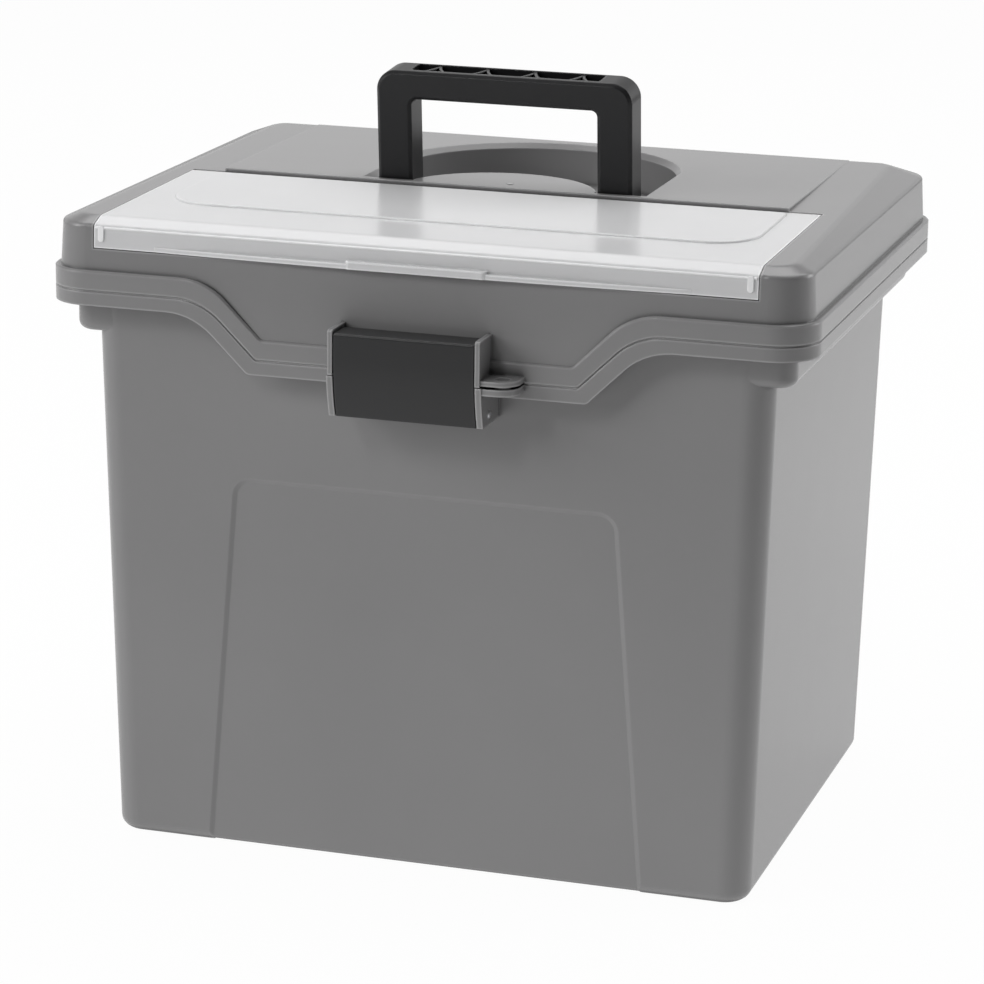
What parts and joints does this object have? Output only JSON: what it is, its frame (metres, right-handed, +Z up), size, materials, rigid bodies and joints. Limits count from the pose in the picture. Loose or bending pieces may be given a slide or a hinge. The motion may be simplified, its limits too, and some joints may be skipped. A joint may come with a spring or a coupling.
{
  "type": "portable file box",
  "caption": "Lidded carrying box for hanging files, with a covered organizer in its lid, a folding handle and a front latch.",
  "frame": {"origin": "under the middle of the tub and of the rim, on the plane that the feet stand on, about 3 mm behind the middle of the overall depth because the latch stands out further than the hinges", "axes": "+Z up, the front with the latch faces -Y, +X to the right seen from the front"},
  "size_m": [0.35, 0.2935, 0.3461],
  "materials": {
    "grey_plastic": "satin moulded polypropylene, slightly pearly",
    "clear_plastic": "frosted translucent polypropylene",
    "black_plastic": "satin moulded plastic",
    "steel": "plain drawn wire"
  },
  "bodies": {
    "tub": {"tub": "grey_plastic", "latch_pin": "steel", "left_hinge_pin": "steel", "right_hinge_pin": "steel"},
    "lid": {"lid": "grey_plastic"},
    "organizer_cover": {"organizer_cover": "clear_plastic"},
    "handle": {"handle": "black_plastic"},
    "latch": {"latch": "black_plastic"}
  },
  "joints": [
    {"name": "lid_hinge", "type": "hinge", "parent": "tub", "child": "lid", "pos_m": [0, 0.1395, 0.2587], "axis": [-1, 0, 0], "range_deg": [0, 105]},
    {"name": "cover_hinge", "type": "hinge", "parent": "lid", "child": "organizer_cover", "pos_m": [0, -0.0136, 0.29004], "axis": [-1, 0, 0], "range_deg": [0, 80]},
    {"name": "handle_fold", "type": "hinge", "parent": "lid", "child": "handle", "pos_m": [0, 0.0031, 0.2845], "axis": [-1, 0, 0], "range_deg": [0, 95]},
    {"name": "latch_swing", "type": "hinge", "parent": "tub", "child": "latch", "pos_m": [0, -0.1374, 0.2197], "axis": [1, 0, 0], "range_deg": [0, 110]}
  ]
}
